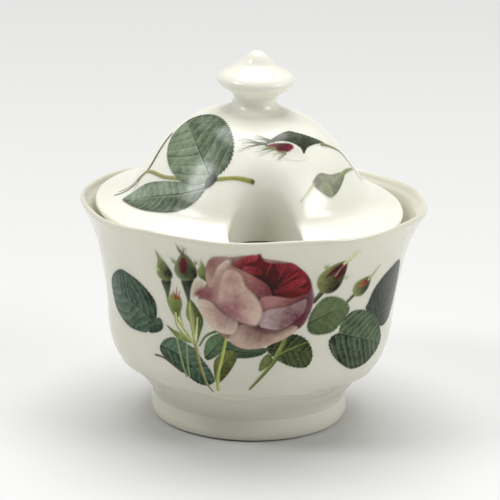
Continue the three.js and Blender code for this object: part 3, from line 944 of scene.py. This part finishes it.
def paint_lid(sheet):
    """Two leaves on a cut stem, a mossy bud and a seed head on the lid."""
    sheet.stem(
        [(-57, -5), (-52, -5), (-47, -6.4), (-41.6, -8), (-36, -4), (-30, 0.6)],
        1.1, 2.0, (84, 86, 72), (122, 122, 106))
    sheet.stem([(-50.4, -9.4), (-47, -7.4), (-43, -7.8)], 0.3, 1.3, (140, 136, 90), (186, 182, 132))
    sheet.stem([(-55.6, -2), (-50, -3.4), (-42, -8.6)], 0.8, 1.4, (112, 112, 84), (156, 156, 122))
    sheet.stem(
        [(-44, -7), (-41.6, -10.4), (-36.3, -20.6), (-30, -27)], 1.2, 1.5, (140, 134, 84), (188, 184, 130))
    sheet.stem([(-19, -33.6), (-8.8, -35.3), (-2.6, -35.3)], 1.6, 1.1, (142, 142, 70), (188, 188, 112))
    sheet.stem([(-3, -35.3), (-2.2, -35.2)], 0.9, 0.6, (104, 100, 60), (128, 124, 80))
    sheet.leaf(
        [(-54.6, -12), (-50, -10.6), (-43.8, -15.3), (-37.8, -21.3), (-28.7, -29.3), (-20.7, -34.8),
         (-22.6, -37.6), (-26, -39), (-31.2, -38.9), (-36.8, -36.8), (-42.6, -32.6), (-47.4, -27.7),
         (-51.8, -20.6)],
        [(-21.4, -35.6), (-32, -32.2), (-45, -22.4), (-54, -12.4)], (84, 98, 76), (174, 192, 168), 3.4,
        -0.26, 0.2, split=-0.2)
    sheet.leaf(
        [(-32.6, -9.4), (-29.1, -1.4), (-24.4, 1), (-19.2, 0.2), (-14.7, -2.9), (-11.3, -8.7), (-9.3, -15.4),
         (-8.5, -21.2), (-9, -25.9), (-10.8, -29.9), (-14, -32.5), (-19.6, -34), (-24.5, -33),
         (-28.7, -29.7), (-31.4, -25.1), (-33.2, -17.8)],
        [(-18, -33.6), (-20.2, -24), (-21.8, -14), (-23.4, 0)], (76, 92, 70), (160, 178, 148), 4.6, -0.4,
        0.5, split=0.16)
    sheet.patch(
        [(-20.6, -33.6), (-18.8, -32), (-16.5, -32), (-15.8, -34.2), (-18.5, -35.9), (-21, -35.9)],
        (52, 60, 46))
    sheet.patch(
        [(10.6, -21.8), (12.7, -21.4), (15, -22.4), (15.4, -24.6), (11.4, -26.4), (9, -26.2), (10, -24.2)],
        (226, 210, 204), 3.2, 0.3)
    sheet.petal(
        [(2, -24.6), (4, -23.2), (7, -22.3), (10.6, -21.5), (12, -22.6), (10.3, -24.9), (7.8, -25.9),
         (5, -25.5)],
        (7, -23), (86, 10, 32), (160, 66, 86), reach=7, streak=0.25, rim=0.1, edge=0.7)
    sheet.leaf(
        [(1.9, -23.7), (5, -20.4), (7.4, -17.9), (10.2, -15.8), (12.9, -15.4), (17.9, -14.4), (24, -12.6),
         (20.6, -16.2), (17.2, -20.2), (15.9, -23.6), (14.4, -21.8), (10.9, -21), (7, -21.7)],
        [(2, -23), (8, -19), (14, -17.4), (23.6, -13)], (50, 58, 44), (118, 124, 100), 2.4, 0.1, 0.15,
        line=0)
    sheet.stem(
        [(22.6, -14.6), (27.5, -11), (32, -8), (36, -7.2), (40.5, -6.6), (45, -6.2)],
        1.4, 0.5, (112, 118, 84), (170, 174, 132))
    dark_hair, pale_hair = (84, 92, 58), (126, 136, 88)
    sheet.hairs((2.2, -23.6), 178, 16, 10.0, 14, dark_hair, 0.5)
    sheet.hairs((4.6, -22.2), 172, 14, 6.6, 16, dark_hair, 0.35)
    sheet.hairs((5.5, -25), 194, 16, 7.0, 16, pale_hair, 0.35)
    sheet.hairs((9, -25.6), 208, 22, 5.0, 14, pale_hair, 0.3)
    sheet.leaf(
        [(20.5, -33.4), (21.4, -29.9), (23.3, -27.4), (28, -24.8), (34.2, -18.4), (32.6, -27.5),
         (29.4, -33.4), (25.5, -34.5)],
        [(22, -29), (28, -29), (33.4, -20)], (128, 132, 110), (188, 192, 168), 2.6, 0.15, 0.1, line=0)
    sheet.petal(
        [(24, -33.8), (24.6, -30.4), (27.4, -29.4), (29.6, -31.4), (29, -33.6)],
        (26, -33.6), (138, 144, 114), (180, 186, 156), rim=0, shadow=0.1, edge=1.2)
    sheet.stem([(32.6, -21.4), (35.6, -15), (39.1, -8.6)], 1.6, 0.9, (134, 142, 96), (184, 188, 144))
    sheet.stem([(20.9, -33), (18.8, -37), (16.2, -41)], 0.9, 0.5, (176, 182, 122), (212, 214, 168), 0.8)


# The grounds are the china's colours: darker on the bowl as painted shade, lighter on the lid as painted
# light.
def make_prints(bowl_ground_painted_shade, lid_ground_painted_light):
    front = Sheet(-62, 66, 19, 73, bowl_ground_painted_shade, 1.5, 3)
    paint_leaves(front)
    paint_stems(front)
    paint_buds(front)
    paint_rose(front)
    inks = printed_glaze("bowl_print_glaze", 0.15, (0.12, 0.18))
    transfer("rose_spray", front, on_bowl(front.x, front.y), "bowl", inks)
    top = Sheet(-60, 50, -46, 5, lid_ground_painted_light, 0.9, 5)
    paint_lid(top)
    lid_inks = printed_glaze("lid_print_glaze", 0.5, (0.2, 0.26))
    transfer("lid_spray", top, on_lid(top.x, top.y), "lid", lid_inks)


# ---- stage ----
def make_floor():
    half = 3000
    corners = [(-half, -half, 0), (half, -half, 0), (half, half, 0), (-half, half, 0)]
    floor = new_piece("floor", corners, [(0, 1, 2, 3)])
    floor.location.z = cad_low.z - 0.0002  # just clear of the foot
    nodes = Nodes("floor_paper")
    nodes.set(Base_Color=(0.7, 0.7, 0.695, 1), Roughness=0.9)
    nodes.shader.inputs["Specular IOR Level"].default_value = 0.1
    floor.data.materials.append(nodes.material)


def area_light(name, azimuth, elevation, distance, size, power):
    """A soft box aimed at the bowl. Its azimuth is from the front, positive to the right."""
    light = bpy.data.lights.new(name, "AREA")
    light.shape = "ELLIPSE"
    light.size, light.size_y = size
    light.energy = power
    lamp = bpy.data.objects.new(name, light)
    a, e = math.radians(azimuth), math.radians(elevation)
    aim = Vector((0, 0, 0.06))
    way = Vector((math.sin(a) * math.cos(e), -math.cos(a) * math.cos(e), math.sin(e)))
    lamp.location = aim + distance * way
    lamp.rotation_euler = (aim - lamp.location).to_track_quat("-Z", "Y").to_euler()
    scene_objects.link(lamp)


def make_lights():
    world = bpy.data.worlds.new("studio")
    world.use_nodes = True
    world.node_tree.nodes["Background"].inputs["Color"].default_value = (1.0, 1.0, 0.985, 1)
    tree = world.node_tree
    split = tree.nodes.new("ShaderNodeSeparateXYZ")
    both = tree.nodes.new("ShaderNodeMath")
    both.operation = "MULTIPLY"
    # Brightest at the horizon, and dimmer in front of the bowl than beside it.
    ramps = (("Z", (0.0, 0.22, 0.72, 0.25)), ("Y", (-0.95, 0.0, 0.2, 1.0)))
    for k, (axis, (start, end, first, second)) in enumerate(ramps):
        ramp = tree.nodes.new("ShaderNodeMapRange")
        ramp.interpolation_type = "SMOOTHSTEP"
        for key, value in (("From Min", start), ("From Max", end), ("To Min", first), ("To Max", second)):
            ramp.inputs[key].default_value = value
        tree.links.new(split.outputs[axis], ramp.inputs["Value"])
        tree.links.new(ramp.outputs["Result"], both.inputs[k])
    tree.links.new(tree.nodes.new("ShaderNodeTexCoord").outputs["Generated"], split.inputs["Vector"])
    tree.links.new(both.outputs["Value"], tree.nodes["Background"].inputs["Strength"])
    bpy.context.scene.world = world
    area_light("soft_box_left", -68, 46, 1.1, (0.38, 0.36), 3.4)
    area_light("soft_box_right", 72, 32, 1.1, (0.62, 0.2), 3.6)
    sun = bpy.data.lights.new("top_light", "SUN")
    sun.energy = 2.6
    sun.angle = math.radians(50)
    lamp = bpy.data.objects.new("top_light", sun)
    lamp.rotation_euler = (math.radians(-13), 0, 0)
    scene_objects.link(lamp)


def make_camera():
    """Looks down on the bowl at a shallow angle, turned a little about its own axis."""
    elevation, roll, distance = math.radians(15.71), math.radians(1.42), 0.7
    aim = Vector((-0.00078, 0, 0.05603))
    data = bpy.data.cameras.new("camera")
    data.sensor_width = 36
    data.lens = 150.4
    camera = bpy.data.objects.new("camera", data)
    back = Vector((0, -math.cos(elevation), math.sin(elevation)))
    right = Vector((1, 0, 0))
    up = back.cross(right)
    turned_right = math.cos(roll) * right + math.sin(roll) * up
    turned_up = math.cos(roll) * up - math.sin(roll) * right
    turn = Matrix((turned_right, turned_up, back)).transposed()
    camera.matrix_world = Matrix.Translation(aim + distance * back) @ turn.to_4x4()
    scene_objects.link(camera)
    bpy.context.scene.camera = camera
    bpy.context.scene.view_settings.view_transform = "Standard"


make_camera()
make_lights()
make_floor()

# One china in three colours: the body darkest as painted shade on the bowl's front, the foot lighter than
# the body as painted light on its sides, and the lid lightest as painted light on its upturned top.
body_glaze_painted_shade = glazed_china("body_glaze_painted_shade", (0.765, 0.755, 0.645), (0.735, 0.72, 0.605))
foot_glaze_painted_lighter = glazed_china("foot_glaze_painted_lighter", (0.81, 0.80, 0.685), (0.77, 0.755, 0.635), (0.14, 0.22))
lid_glaze_painted_light = glazed_china("lid_glaze_painted_light", (0.90, 0.895, 0.79), (0.88, 0.87, 0.76), (0.2, 0.26))
for make, body, node, slot, glaze in (
    (make_bowl, "bowl", "bowl_body", "body_china", body_glaze_painted_shade),
    (make_foot, "bowl", "foot_ring", "foot_china", foot_glaze_painted_lighter),
    (make_lid, "lid", "lid_shell", "lid_china", lid_glaze_painted_light),
    (make_knob, "lid", "lid_knob", "knob_china", lid_glaze_painted_light),
):
    piece = make()
    piece.data.materials.clear()
    piece.data.materials.append(glaze)
    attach(piece, body)
    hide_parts(node)

# The bowl's ground is painted shade and the lid's is painted light, as in the glazes.
make_prints((0.765, 0.755, 0.645), (0.90, 0.895, 0.79))
